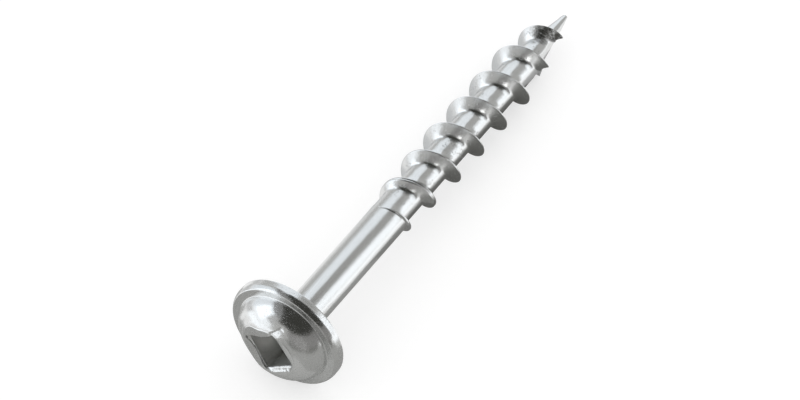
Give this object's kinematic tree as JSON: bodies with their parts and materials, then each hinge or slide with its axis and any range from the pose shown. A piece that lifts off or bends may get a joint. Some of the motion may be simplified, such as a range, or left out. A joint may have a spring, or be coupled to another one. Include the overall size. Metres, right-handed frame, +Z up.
{
  "type": "pocket hole screw",
  "caption": "Wood screw with a washer head, a square drive recess, a plain shank, a coarse thread and a slotted point, lying on its side.",
  "frame": {"origin": "middle of the bounding box's foot, on the surface that the screw lies on", "axes": "+X along the screw towards its point, which dips 4.6 degrees below it; +Z up"},
  "size_m": [0.0406, 0.0092, 0.0092],
  "materials": {
    "zinc_plate": "bright zinc plate on cold formed and rolled steel, glossy, with fine drawing marks and small pits"
  },
  "bodies": {
    "root": {"pocket_hole_screw": "zinc_plate"}
  },
  "joints": []
}
